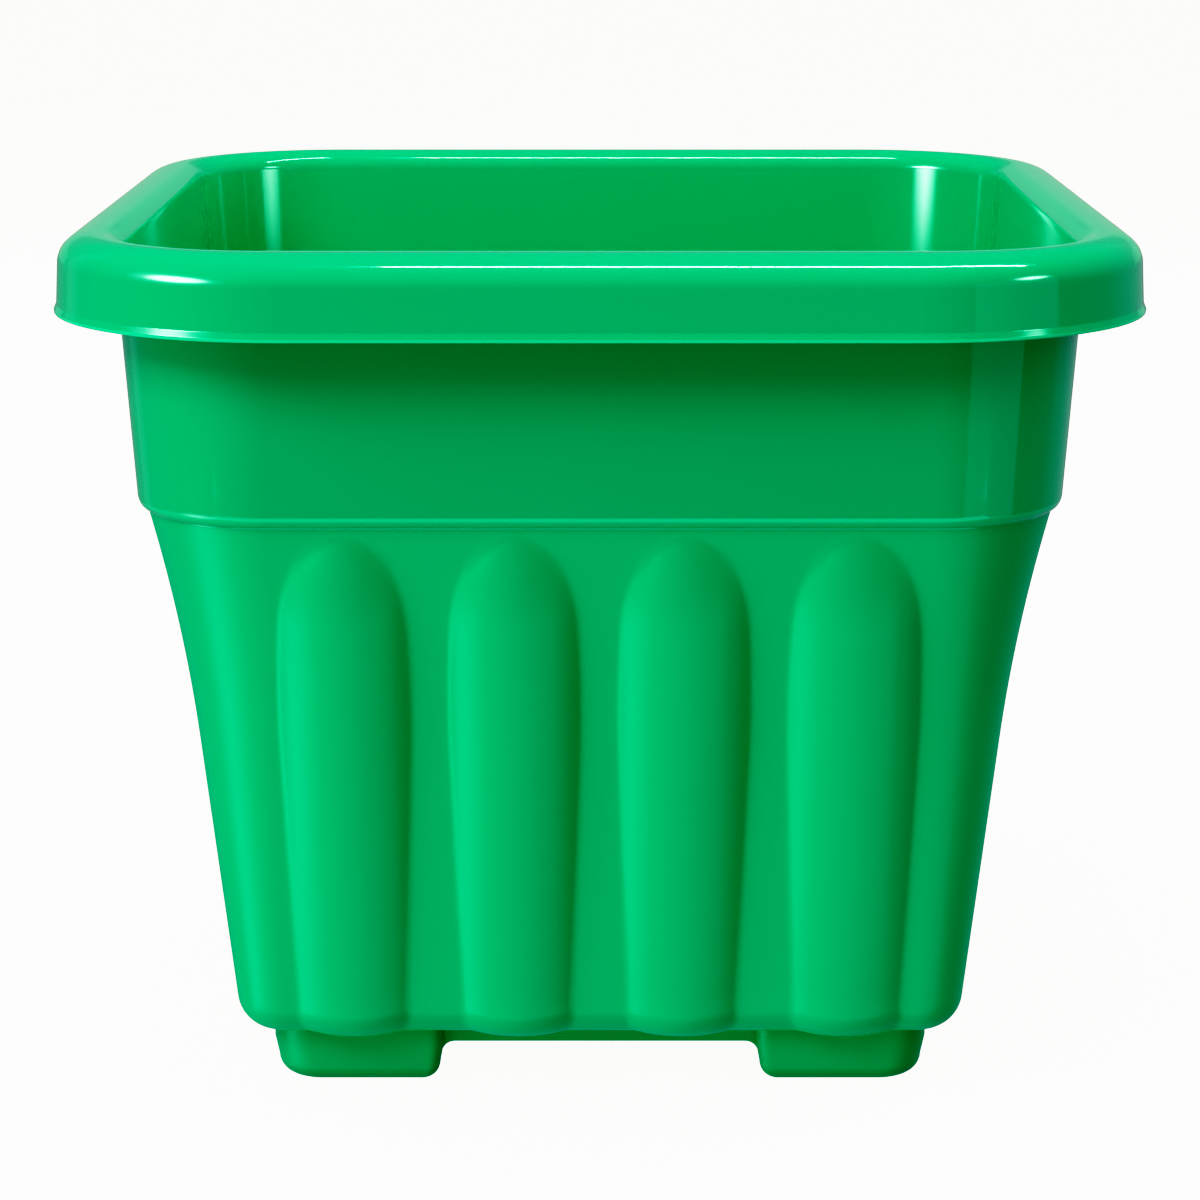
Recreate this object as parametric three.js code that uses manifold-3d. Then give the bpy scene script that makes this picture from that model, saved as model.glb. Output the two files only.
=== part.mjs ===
// Square garden tub: a one-piece moulded tub with a rolled rim and a fluted front and back,
// a foot frame pegged under its floor, and four drain plugs that lift out of the floor.
// Millimetres, +Z up, front towards -Y, origin on the ground under the middle of the tub.
import * as THREE from "three";
import { mergeVertices } from "three/addons/utils/BufferGeometryUtils.js";
import Module from "manifold-3d";

// Heights
const FOOT_HEIGHT = 15.8; // ground to the underside of the plinth rails
const RAIL_HEIGHT = 6.9; // plinth rails
const WALL_HEIGHT = 204.7; // tub's underside to the step under the band
const BAND_HEIGHT = 71.3; // step to the bottom of the rim's lip
const RIM_HEIGHT = 29.4; // lip to the crest of the rim

// Half-widths, measured square across from the middle of the tub
const WALL_FOOT_HALF = 138.9; // wall where it meets the rounded base edge
const WALL_FOOT_CORNER = 18.9; // corner radius in plan at the same height
const RIM_HALF = 200; // rim's lip, the widest place

// Tub moulding
const WALL = 3; // wall, floor and rim thickness
const BASE_ROUND = 14; // rounded edge between wall and underside
const WALL_TAPER = 6.4; // degrees, straight lower part of the wall
const FLARE_HEIGHT = 88.7; // upper part of the wall, which curves outward
const FLARE_RADIUS = 580;
const STEP_OUT = 3.55; // how far the band stands out over the wall
const STEP_RISE = 5; // height of the band's rounded lower edge
const BAND_TAPER = 3.75; // degrees
const RIM_CORNER = 90; // corner radius of the lip in plan
const LIP_PROUD = 1; // lip beyond the skirt
const LIP_HEIGHT = 3.3;
const LIP_EDGE = 1.2; // upright edge of the lip, below its sloping top
const SKIRT_DRAFT = 0.9; // skirt's lean between lip and shoulder
const SHOULDER_HEIGHT = 11.5; // outer shoulder of the rim, a quarter ellipse
const CREST_FLAT = 2; // between the shoulder and the inner roll
const ROLL_RADIUS = 8; // inner edge of the rim

// Flutes on the front and the back
const FLUTE_COUNT = 4;
const FLUTE_PITCH = 62;
const FLUTE_RADIUS = 36; // round of the flute's section
const FLUTE_PROUD = 6.3; // how far a flute stands out at its foot
const FLUTE_TAPER = 8.05; // degrees
const FLUTE_HEADROOM = 38.2; // step down to where the flute starts to round off
const FLUTE_DOME = 63; // height over which it would round off to nothing

// Foot frame
const FOOT_SIZE = 66; // square in plan, at the top
const FRAME_PROUD = 1; // frame's outer face beyond the flat of the tub's underside
const FOOT_CORNER = 16; // under the tub's own corner
const FOOT_INNER_CORNER = 6; // a foot's other corners
const FOOT_DRAFT = 1.5; // how far a foot's sides lean in
const FOOT_ROUND = 8; // rounded bottom edge
const FOOT_WALL = 3;
const RAIL_WIDTH = 8;
const RAIL_SETBACK = 6; // rail's outer face behind the feet
const RAIL_FILLET = 5; // between a rail's underside and a foot
const PEG_RADIUS = 4.5;
const SOCKET_DEPTH = 12; // from the tub's underside
const SOCKET_WALL = 3;
const ROOTED = 1.5; // how far a boss or a peg is sunk into the floor that carries it
const FIT_CLEARANCE = 0.3; // between pieces that fit together

// Drain plugs
const DRAIN_RADIUS = 8;
const DRAIN_DISTANCE = 78; // middle of the floor to each drain hole
const PLUG_HEAD_RADIUS = 12.5;
const PLUG_HEAD_HEIGHT = 2.5;
const PLUG_EDGE = 0.8; // bevel on the head and at the stem's foot
const PLUG_CROWN = 1.5; // web over the hollow stem, below the floor's top
const PLUG_WALL = 2.2;
const PLUG_REACH = 3; // stem below the floor
const TAB_RADIUS = 8; // upright pull tab
const TAB_THICKNESS = 3.2;
const TAB_HOLE_RADIUS = 3.6;
const TAB_HOLE_RISE = 3.9; // middle of the finger hole above the head

// How finely round stretches are stepped
const CORNER_STEPS = 8;
const ARC_STEPS = 4;
const DOME_STEPS = 8;
const FOOT_CORNER_STEPS = 4;
const COLUMN_SIDES = 36;
const SMALL_SIDES = 24;

// A cutter reaches this far past the face that it opens, and no corner is sharper than this radius
const CUT_THROUGH = 1;
const SHARPEST_CORNER = 2;

// Heights and half-widths that follow from the sizes above
const UNDERSIDE = FOOT_HEIGHT + RAIL_HEIGHT + FIT_CLEARANCE;
const FLOOR_TOP = UNDERSIDE + WALL;
const STEP = UNDERSIDE + WALL_HEIGHT;
const LIP = STEP + BAND_HEIGHT;
const CREST = LIP + RIM_HEIGHT;
const CORNER_AXIS = WALL_FOOT_HALF - WALL_FOOT_CORNER; // each wall corner turns about an upright axis
const QUARTER = Math.PI / 2;
const WALL_SLOPE = Math.tan(THREE.MathUtils.degToRad(WALL_TAPER));
const BAND_SLOPE = Math.tan(THREE.MathUtils.degToRad(BAND_TAPER));
const FLUTE_SLOPE = Math.tan(THREE.MathUtils.degToRad(FLUTE_TAPER));
const WALL_FOOT = UNDERSIDE + BASE_ROUND;
const FLARE_START = STEP - FLARE_HEIGHT;
const ROLL_CENTRE = CREST - ROLL_RADIUS;
const SHOULDER_FOOT = CREST - SHOULDER_HEIGHT;
const BASE_FLAT_HALF = WALL_FOOT_HALF - BASE_ROUND;
const SKIRT_HALF = RIM_HALF - LIP_PROUD;
const SHOULDER_HALF = SKIRT_HALF - SKIRT_DRAFT;

const wallHalf = (height) => {
  const flare = Math.max(0, height - FLARE_START);
  return WALL_FOOT_HALF + (height - WALL_FOOT) * WALL_SLOPE + (flare * flare) / (2 * FLARE_RADIUS);
};
const BAND_FOOT_HALF = wallHalf(STEP) + STEP_OUT;
const bandHalf = (height) => BAND_FOOT_HALF + (height - STEP - STEP_RISE) * BAND_SLOPE;
const RIM_START_HALF = bandHalf(ROLL_CENTRE);
const ROLL_HALF = RIM_START_HALF - WALL + ROLL_RADIUS;
const CREST_HALF = ROLL_HALF + CREST_FLAT;
const SHOULDER_WIDTH = SHOULDER_HALF - CREST_HALF;

// Corner radius in plan: the walls turn about one upright axis, and the rim's corners grow rounder.
const cornerRadius = (half) => {
  if (half <= RIM_START_HALF) return Math.max(half - CORNER_AXIS, SHARPEST_CORNER);
  const wallCorner = RIM_START_HALF - CORNER_AXIS;
  const share = (half - RIM_START_HALF) / (RIM_HALF - RIM_START_HALF);
  return THREE.MathUtils.lerp(wallCorner, RIM_CORNER, share);
};

const steps = (count, place) => Array.from({ length: count + 1 }, (_, index) => place(index / count));
const quarter = (count, place) =>
  steps(count, (share) => place(Math.sin(share * QUARTER), Math.cos(share * QUARTER)));

// Points of a square with its four corners rounded, anticlockwise in plan, the same count for every size.
function roundedSquare(half, radii, height, cornerSteps = CORNER_STEPS) {
  const points = [];
  radii.forEach((radius, corner) => {
    const middle = half - radius;
    const turn = corner * QUARTER;
    const axis = new THREE.Vector2(middle, middle).rotateAround(new THREE.Vector2(), turn);
    for (const angle of steps(cornerSteps, (share) => turn + share * QUARTER)) {
      const point = axis.clone().add(new THREE.Vector2(radius, 0).rotateAround(new THREE.Vector2(), angle));
      points.push(new THREE.Vector3(point.x, point.y, height));
    }
  });
  return points;
}

function circle(centre, radius, height, sides) {
  return steps(sides, (share) => share * 4 * QUARTER)
    .slice(0, sides)
    .map((angle) => new THREE.Vector3(
      centre.x + radius * Math.cos(angle), centre.y + radius * Math.sin(angle), height));
}

// Closed skin over a stack of rings, with a flat fan over the first and the last ring.
function loft(rings) {
  const count = rings[0].length;
  const middleOf = (ring) =>
    ring.reduce((sum, point) => sum.add(point), new THREE.Vector3()).divideScalar(count);
  const points = [...rings.flat(), middleOf(rings[0]), middleOf(rings.at(-1))];
  const firstMiddle = points.length - 2;
  const lastMiddle = points.length - 1;
  const lastRing = (rings.length - 1) * count;
  const index = [];
  for (let step = 0; step < count; step++) {
    const next = (step + 1) % count;
    for (let row = 0; row < lastRing; row += count) {
      index.push(row + step, row + next, row + count + next);
      index.push(row + step, row + count + next, row + count + step);
    }
    index.push(firstMiddle, next, step, lastMiddle, lastRing + step, lastRing + next);
  }
  const geometry = new THREE.BufferGeometry().setFromPoints(points);
  geometry.setIndex(index);
  return geometry;
}

const wasm = await Module();
wasm.setup();

function solid(geometry) {
  const bare = geometry.clone();
  bare.deleteAttribute("normal");
  bare.deleteAttribute("uv");
  const merged = mergeVertices(bare);
  const vertProperties = new Float32Array(merged.attributes.position.array);
  const triVerts = new Uint32Array(merged.index.array);
  return new wasm.Manifold(new wasm.Mesh({ numProp: 3, vertProperties, triVerts }));
}

function skinOf(manifold) {
  const mesh = manifold.getMesh();
  const geometry = new THREE.BufferGeometry();
  geometry.setAttribute("position", new THREE.BufferAttribute(mesh.vertProperties, mesh.numProp));
  geometry.setIndex(new THREE.BufferAttribute(mesh.triVerts, 1));
  return geometry;
}

const joined = (solids) => solids.reduce((whole, piece) => whole.add(piece));
const post = (centre, radius, low, high) =>
  solid(loft([circle(centre, radius, low, SMALL_SIDES), circle(centre, radius, high, SMALL_SIDES)]));

// Section lines of the tub as [half-width, height], from the base edge upward.
// inset is 0 for the outside, and the wall thickness for the inside.
function wallLine(inset) {
  const round = BASE_ROUND - inset;
  const stepHeight = STEP + inset;
  const stepHalf = wallHalf(STEP) - inset;
  return [
    ...quarter(ARC_STEPS, (sine, cosine) => [BASE_FLAT_HALF + round * sine, WALL_FOOT - round * cosine]),
    ...steps(ARC_STEPS, (share) => FLARE_START + share * FLARE_HEIGHT)
      .slice(0, -1)
      .map((height) => [wallHalf(height) - inset, height]),
    ...quarter(ARC_STEPS, (sine, cosine) => [
      stepHalf + STEP_OUT * sine, stepHeight + STEP_RISE * (1 - cosine)]),
    [RIM_START_HALF - inset, ROLL_CENTRE],
  ];
}

// Over the rim, from the wall's outside, under the rim and up the skirt to the crest.
function rimLine() {
  const underRoll = ROLL_RADIUS - WALL;
  return [
    ...quarter(ARC_STEPS, (sine, cosine) => [
      ROLL_HALF - underRoll * cosine, ROLL_CENTRE + underRoll * sine]).slice(1),
    ...quarter(ARC_STEPS, (sine, cosine) => [
      CREST_HALF + (SHOULDER_WIDTH - WALL) * sine, SHOULDER_FOOT + (SHOULDER_HEIGHT - WALL) * cosine]),
    [SKIRT_HALF - WALL, LIP],
    [RIM_HALF, LIP],
    [RIM_HALF, LIP + LIP_EDGE],
    [SKIRT_HALF, LIP + LIP_HEIGHT],
    ...quarter(ARC_STEPS + 1, (sine, cosine) => [
      CREST_HALF + SHOULDER_WIDTH * cosine, SHOULDER_FOOT + SHOULDER_HEIGHT * sine]),
  ];
}

// The planting space, with the rolled inner edge of the rim, open past the crest.
function spaceLine() {
  const roll = quarter(ARC_STEPS + 1, (sine, cosine) => [
    ROLL_HALF - ROLL_RADIUS * cosine, ROLL_CENTRE + ROLL_RADIUS * sine]);
  const [beforeHalf, beforeHeight] = roll.at(-2);
  const pastCrest = [2 * ROLL_HALF - beforeHalf, 2 * CREST - beforeHeight];
  return [...wallLine(WALL), ...roll.slice(1, -1), pastCrest];
}

const squareLoft = (line) =>
  solid(loft(line.map(([half, height]) => roundedSquare(half, Array(4).fill(cornerRadius(half)), height))));

// One flute as a round column leaning with its face. inset thins it to the matching hollow inside.
function fluteColumn(across, side, inset) {
  const radius = FLUTE_RADIUS - inset;
  const domeHeight = FLUTE_DOME - inset;
  const round = BASE_ROUND - inset;
  const top = STEP - FLUTE_HEADROOM;
  const faceFoot = WALL_FOOT_HALF + FLUTE_PROUD;
  const axisAt = (height) => faceFoot - FLUTE_RADIUS + (height - WALL_FOOT) * FLUTE_SLOPE;
  const disc = (depth, size, height) =>
    circle(new THREE.Vector2(across, side * depth), size, height, COLUMN_SIDES);
  const foot = quarter(ARC_STEPS, (sine, cosine) => disc(
    axisAt(WALL_FOOT), radius - round * (1 - cosine), WALL_FOOT - round * sine));
  const dome = quarter(DOME_STEPS, (sine, cosine) => disc(
    axisAt(top + domeHeight * sine), radius * cosine, top + domeHeight * sine));
  return solid(loft([...foot.slice(0, -1).reverse(), ...dome.slice(0, -1)]));
}

function flutes(inset) {
  const first = (-FLUTE_PITCH * (FLUTE_COUNT - 1)) / 2;
  const places = Array.from({ length: FLUTE_COUNT }, (_, index) => first + index * FLUTE_PITCH);
  return joined([-1, 1].flatMap((side) => places.map((across) => fluteColumn(across, side, inset))));
}

const FRAME_HALF = BASE_FLAT_HALF + FRAME_PROUD;
const FOOT_MIDDLE = FRAME_HALF - FOOT_SIZE / 2;
const FEET = [[1, 1], [-1, 1], [-1, -1], [1, -1]].map(([across, along]) =>
  new THREE.Vector2(across, along).multiplyScalar(FOOT_MIDDLE));
const DRAINS = {
  front: new THREE.Vector2(0, -DRAIN_DISTANCE),
  back: new THREE.Vector2(0, DRAIN_DISTANCE),
  left: new THREE.Vector2(-DRAIN_DISTANCE, 0),
  right: new THREE.Vector2(DRAIN_DISTANCE, 0),
};

function tubBody() {
  const outside = squareLoft([...wallLine(0), ...rimLine()]).add(flutes(0));
  const space = squareLoft(spaceLine()).add(flutes(WALL));
  const socketTop = UNDERSIDE + SOCKET_DEPTH;
  const socketRadius = PEG_RADIUS + FIT_CLEARANCE;
  const bosses = FEET.map((place) =>
    post(place, socketRadius + SOCKET_WALL, FLOOR_TOP - ROOTED, socketTop + SOCKET_WALL));
  const sockets = FEET.map((place) => post(place, socketRadius, UNDERSIDE - CUT_THROUGH, socketTop));
  const drains = Object.values(DRAINS).map((place) =>
    post(place, DRAIN_RADIUS, UNDERSIDE - CUT_THROUGH, FLOOR_TOP + CUT_THROUGH));
  return outside.subtract(space).add(joined(bosses)).subtract(joined([...sockets, ...drains]));
}

// Outside of the foot under one of the tub's corners, or the hollow inside it with inset, open at the top
// with reach.
function footBlock(place, corner, inset, reach) {
  const half = FOOT_SIZE / 2 - inset;
  const round = FOOT_ROUND - inset;
  const square = (size, height) => {
    const radii = FEET.map((_, index) => Math.max(
      (index === corner ? FOOT_CORNER : FOOT_INNER_CORNER) - inset - half + size, SHARPEST_CORNER));
    return roundedSquare(size, radii, height, FOOT_CORNER_STEPS)
      .map((point) => point.add(new THREE.Vector3(place.x, place.y, 0)));
  };
  return solid(loft([
    ...quarter(ARC_STEPS, (sine, cosine) => square(
      half - FOOT_DRAFT - round * (1 - sine), FOOT_ROUND - round * cosine)),
    square(half, FOOT_HEIGHT),
    square(half, FOOT_HEIGHT + RAIL_HEIGHT + reach),
  ]));
}

// One plinth rail between two feet, with the fillets that join it to them, turned to its side.
function rail(turn) {
  const lean = (FOOT_DRAFT * RAIL_FILLET) / (FOOT_HEIGHT - FOOT_ROUND);
  const reach = FOOT_MIDDLE - FOOT_SIZE / 2 + lean;
  const shape = new THREE.Shape();
  shape.moveTo(FOOT_MIDDLE, FOOT_HEIGHT + RAIL_HEIGHT);
  shape.lineTo(-FOOT_MIDDLE, FOOT_HEIGHT + RAIL_HEIGHT);
  shape.lineTo(-FOOT_MIDDLE, FOOT_HEIGHT - RAIL_FILLET);
  shape.lineTo(-reach, FOOT_HEIGHT - RAIL_FILLET);
  shape.absarc(-reach + RAIL_FILLET, FOOT_HEIGHT - RAIL_FILLET, RAIL_FILLET, Math.PI, QUARTER, true);
  shape.absarc(reach - RAIL_FILLET, FOOT_HEIGHT - RAIL_FILLET, RAIL_FILLET, QUARTER, 0, true);
  shape.lineTo(FOOT_MIDDLE, FOOT_HEIGHT - RAIL_FILLET);
  const stretch = { depth: RAIL_WIDTH, bevelEnabled: false, curveSegments: ARC_STEPS };
  const bar = new THREE.ExtrudeGeometry(shape, stretch);
  bar.rotateX(QUARTER).translate(0, -FRAME_HALF + RAIL_SETBACK + RAIL_WIDTH, 0).rotateZ(turn);
  return solid(bar);
}

function footFrame() {
  const feet = FEET.map((place, corner) => footBlock(place, corner, 0, 0));
  const rails = Array.from({ length: 4 }, (_, side) => rail(side * QUARTER));
  const hollows = FEET.map((place, corner) => footBlock(place, corner, FOOT_WALL, CUT_THROUGH));
  const pegs = FEET.map((place) =>
    post(place, PEG_RADIUS, FOOT_WALL - ROOTED, UNDERSIDE + SOCKET_DEPTH - FIT_CLEARANCE));
  return joined([...feet, ...rails]).subtract(joined(hollows)).add(joined(pegs));
}

// Plug about its own axis, with height 0 on the floor: head, hollow stem and an upright pull tab.
function drainPlug() {
  const stem = DRAIN_RADIUS - FIT_CLEARANCE;
  const stemFoot = -WALL - PLUG_REACH;
  const headTop = FIT_CLEARANCE + PLUG_HEAD_HEIGHT;
  const line = [
    [0, -PLUG_CROWN],
    [stem - PLUG_WALL, -PLUG_CROWN],
    [stem - PLUG_WALL, stemFoot],
    [stem - PLUG_EDGE, stemFoot],
    [stem, stemFoot + PLUG_EDGE],
    [stem, FIT_CLEARANCE],
    [PLUG_HEAD_RADIUS, FIT_CLEARANCE],
    [PLUG_HEAD_RADIUS, headTop - PLUG_EDGE],
    [PLUG_HEAD_RADIUS - PLUG_EDGE, headTop],
    [0, headTop],
  ].map(([radius, height]) => new THREE.Vector2(radius, height));
  const turned = new THREE.LatheGeometry(line, SMALL_SIDES).rotateX(QUARTER);
  const outline = new THREE.Shape();
  outline.moveTo(-TAB_RADIUS, headTop - PLUG_EDGE);
  outline.lineTo(TAB_RADIUS, headTop - PLUG_EDGE);
  outline.absarc(0, headTop, TAB_RADIUS, 0, Math.PI, false);
  const hole = new THREE.Path();
  hole.absarc(0, headTop + TAB_HOLE_RISE, TAB_HOLE_RADIUS, 0, 4 * QUARTER, true);
  outline.holes.push(hole);
  const stretch = { depth: TAB_THICKNESS, bevelEnabled: false, curveSegments: CORNER_STEPS };
  const tab = new THREE.ExtrudeGeometry(outline, stretch);
  tab.rotateX(QUARTER).translate(0, TAB_THICKNESS / 2, 0);
  return solid(turned).add(solid(tab));
}

const green = (color, roughness) => new THREE.MeshStandardMaterial({ color, roughness, metalness: 0 });
const named = (name, manifold, material) => {
  const mesh = new THREE.Mesh(skinOf(manifold), material);
  mesh.name = name;
  return mesh;
};

const tub = new THREE.Group();
tub.add(named("tub_body", tubBody(), green(0x00a657, 0.22)));
tub.add(named("foot_frame", footFrame(), green(0x00964c, 0.3)));
for (const [place, centre] of Object.entries(DRAINS)) {
  const plug = named(`drain_plug_${place}`, drainPlug(), green(0x0a7d43, 0.4));
  plug.position.set(centre.x, centre.y, FLOOR_TOP);
  tub.add(plug);
}

export default tub;
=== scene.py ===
"""Square garden tub in its studio.

Fine meshes of the tub moulding, its foot frame and its four drain plugs stand for the parts of the
fixed frame, in moulded-plastic finishes. Sub-assembly sizes are in millimetres, as such a tub is
drawn, and Blender's objects are in metres.
"""

import logging
import math
from dataclasses import dataclass, field
from enum import Enum
from itertools import pairwise
from typing import Iterable, Sequence

import bpy
import numpy as np
from mathutils import Euler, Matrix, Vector
from mathutils.geometry import tessellate_polygon

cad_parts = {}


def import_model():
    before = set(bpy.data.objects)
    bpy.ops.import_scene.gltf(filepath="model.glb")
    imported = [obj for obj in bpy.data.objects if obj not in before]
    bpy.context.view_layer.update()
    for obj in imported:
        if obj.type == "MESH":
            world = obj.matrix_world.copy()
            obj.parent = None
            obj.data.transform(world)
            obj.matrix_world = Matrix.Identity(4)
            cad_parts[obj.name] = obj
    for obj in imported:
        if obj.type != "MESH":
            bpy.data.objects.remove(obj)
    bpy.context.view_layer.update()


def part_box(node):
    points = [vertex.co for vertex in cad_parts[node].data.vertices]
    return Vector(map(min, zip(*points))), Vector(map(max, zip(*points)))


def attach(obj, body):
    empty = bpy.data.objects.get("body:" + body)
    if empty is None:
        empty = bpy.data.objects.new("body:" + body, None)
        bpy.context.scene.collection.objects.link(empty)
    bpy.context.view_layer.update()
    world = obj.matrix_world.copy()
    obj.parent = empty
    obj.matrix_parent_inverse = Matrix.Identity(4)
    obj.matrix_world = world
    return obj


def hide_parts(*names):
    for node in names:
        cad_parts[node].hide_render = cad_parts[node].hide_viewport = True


LOG = logging.getLogger("garden_tub")
MM = 0.001
QUARTER = math.pi / 2
FULL_TURN = 4 * QUARTER
SMOOTH_ANGLE = math.radians(32)

Colour = tuple[float, float, float]
Point = tuple[float, float, float]
Place = tuple[float, float]


class Zone(Enum):
    """Stretches of the tub's skin, in the order that they are moulded from the base up."""

    BASE = "base"
    WALL = "wall"
    STEP = "step"
    BAND = "band"
    UNDER_RIM = "under_rim"
    LIP = "lip"
    RIM = "rim"
    INSIDE = "inside"


class Joining(Enum):
    """How one solid is worked into another."""

    ADD = "UNION"
    CUT = "DIFFERENCE"


def quarter_arc(centre: Place, across: float, up: float, steps: int) -> list[Place]:
    """Quarter of an ellipse, from over its centre, or under it if up is below 0, round to its side."""
    angles = np.linspace(0.0, QUARTER, steps + 1)
    return [(centre[0] + across * math.sin(angle), centre[1] + up * math.cos(angle)) for angle in angles]


def rounded_line(corners: Sequence[Point], steps: int) -> list[Place]:
    """Open line through corners, each turned with its own radius.

    Args:
        corners: Across, up and radius of each corner. The two ends have no radius.
        steps: Count of chords in each round.

    Returns:
        Points of the line, in order.
    """
    line = [corners[0][:2]]
    for before, here, after in zip(corners, corners[1:], corners[2:]):
        corner = np.array(here[:2])
        back = np.array(before[:2]) - corner
        ahead = np.array(after[:2]) - corner
        back, ahead = back / np.linalg.norm(back), ahead / np.linalg.norm(ahead)
        opening = math.acos(float(np.clip(back @ ahead, -1.0, 1.0)))
        reach = here[2] / math.tan(opening / 2)
        bisector = (back + ahead) / np.linalg.norm(back + ahead)
        middle = corner + bisector * here[2] / math.sin(opening / 2)
        first, last = corner + back * reach - middle, corner + ahead * reach - middle
        sweep = math.pi - opening
        for share in np.linspace(0.0, 1.0, steps + 1):
            turned = first * math.sin((1 - share) * sweep) + last * math.sin(share * sweep)
            line.append(tuple(middle + turned / math.sin(sweep)))
    return [*line, corners[-1][:2]]


def rounded_square(half: float, radii: Sequence[float], steps: int) -> np.ndarray:
    """Points of a square with its four corners rounded, anticlockwise in plan.

    Args:
        half: Half of its width.
        radii: Corner radii, from the back right corner on.
        steps: Count of chords in each corner.

    Returns:
        Array of points, one row each.
    """
    angles = np.linspace(0.0, QUARTER, steps + 1)
    arc = np.stack([np.cos(angles), np.sin(angles)], axis=1)
    turn = np.array([[0, 1], [-1, 0]])
    corners = [(arc * radius + (half - radius)) @ np.linalg.matrix_power(turn, place)
               for place, radius in enumerate(radii)]
    return np.concatenate(corners)


def circle(centre: Place, radius: float, sides: int) -> np.ndarray:
    """Points of a circle in plan, anticlockwise, one row each."""
    angles = np.arange(sides) * FULL_TURN / sides
    return np.stack([np.cos(angles), np.sin(angles)], axis=1) * radius + np.array(centre)


@dataclass
class Skin:
    """Points and faces of one mesh while it is made, in millimetres."""

    points: list[Point] = field(default_factory=list)
    # Share of the painted highlight at each point, a paler tint where light catches an edge.
    painted_highlight: list[float] = field(default_factory=list)
    faces: list[tuple[int, ...]] = field(default_factory=list)
    finishes: list[int] = field(default_factory=list)

    def ring(self, plan: np.ndarray, height: float, painted_highlight: float = 0.0) -> list[int]:
        """Adds a level ring of points.

        Args:
            plan: Its points in plan, anticlockwise.
            height: Its height.
            painted_highlight: How far a highlight is painted in here as a paler tint, 0 to 1.

        Returns:
            Indices of the new points.
        """
        first = len(self.points)
        self.points.extend((float(x), float(y), height) for x, y in plan)
        self.painted_highlight.extend([painted_highlight] * len(plan))
        return list(range(first, len(self.points)))

    def bridge(self, lower: list[int], upper: list[int], finish: int = 0) -> None:
        """Joins two rings of equal count with quads, facing outwards if the second ring is higher.

        Args:
            lower: Ring that the band of quads starts from.
            upper: Ring that it ends at.
            finish: Material slot of the faces.
        """
        count = len(lower)
        for here in range(count):
            there = (here + 1) % count
            self.face((lower[here], lower[there], upper[there], upper[here]), finish)

    def stack(self, rings: Sequence[list[int]], finish: int = 0) -> None:
        """Bridges each ring to the next one."""
        for lower, upper in pairwise(rings):
            self.bridge(lower, upper, finish)

    def fill(self, outer: list[int], holes: Sequence[list[int]], faces_up: bool, finish: int = 0) -> None:
        """Closes a flat region with triangles.

        Args:
            outer: Ring round the region.
            holes: Rings left open in it.
            faces_up: Whether the faces look up or down.
            finish: Material slot of the faces.
        """
        loops = [outer, *holes]
        flat = [index for loop in loops for index in loop]
        plan = [[Vector((*self.points[index][:2], 0.0)) for index in loop] for loop in loops]
        for triangle in tessellate_polygon(plan):
            corners = [flat[corner] for corner in triangle]
            a, b, c = (np.array(self.points[corner][:2]) for corner in corners)
            turns_left = (b - a)[0] * (c - a)[1] - (b - a)[1] * (c - a)[0] > 0
            self.face(tuple(corners if turns_left == faces_up else reversed(corners)), finish)

    def face(self, corners: tuple[int, ...], finish: int) -> None:
        """Adds one face."""
        self.faces.append(corners)
        self.finishes.append(finish)

    def piece(self, name: str) -> bpy.types.Object:
        """Makes the mesh and links it to the scene.

        Args:
            name: Name of the piece.

        Returns:
            The new object, at the origin, in metres.
        """
        mesh = bpy.data.meshes.new(name)
        mesh.from_pydata([tuple(value * MM for value in point) for point in self.points], [], self.faces)
        mesh.polygons.foreach_set("material_index", self.finishes)
        # Painted highlight: each point's share of the paler tint.
        light = mesh.attributes.new("painted_highlight", "FLOAT", "POINT")
        light.data.foreach_set("value", self.painted_highlight)
        mesh.validate()
        smooth(mesh)
        return linked(name, mesh)


def linked(name: str, data: bpy.types.ID) -> bpy.types.Object:
    """Makes an object and links it to the scene.

    Args:
        name: Name of the object.
        data: Its mesh, light or camera.

    Returns:
        The new object.
    """
    made = bpy.data.objects.new(name, data)
    bpy.context.scene.collection.objects.link(made)
    return made


def closed_solid(name: str, levels: Iterable[tuple[np.ndarray, float]]) -> bpy.types.Object:
    """Closed solid through level rings.

    Args:
        name: Name of the solid.
        levels: Plan and height of each ring. The first is closed from below, the last from above.

    Returns:
        The new object.
    """
    skin = Skin()
    rings = [skin.ring(plan, height) for plan, height in levels]
    skin.stack(rings)
    skin.fill(rings[0], [], faces_up=False)
    skin.fill(rings[-1], [], faces_up=True)
    return skin.piece(name)


def lathed(name: str, centre: Place, line: Iterable[Place], sides: int) -> bpy.types.Object:
    """Closed solid turned about an upright axis, from a line of radii and heights."""
    return closed_solid(name, [(circle(centre, radius, sides), height) for radius, height in line])


def smooth(mesh: bpy.types.Mesh) -> None:
    """Shades a mesh smooth, apart from its sharp edges."""
    mesh.polygons.foreach_set("use_smooth", [True] * len(mesh.polygons))
    mesh.set_sharp_from_angle(angle=SMOOTH_ANGLE)
    mesh.update()


def worked(target: bpy.types.Object, tools: Iterable[bpy.types.Object], joining: Joining) -> None:
    """Joins solids to a target, or cuts them from it, and deletes them.

    Args:
        target: Solid that stays.
        tools: Solids that are used up.
        joining: Whether they are added or cut away.
    """
    for tool in tools:
        modifier = target.modifiers.new("work", "BOOLEAN")
        modifier.operation = joining.value
        modifier.solver = "EXACT"
        modifier.object = tool
        graph = bpy.context.evaluated_depsgraph_get()
        made = bpy.data.meshes.new_from_object(target.evaluated_get(graph))
        target.modifiers.clear()
        spent = [target.data, tool.data]
        target.data = made
        bpy.data.objects.remove(tool)
        for mesh in spent:
            bpy.data.meshes.remove(mesh)
    target.data.name = target.name
    smooth(target.data)


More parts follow.
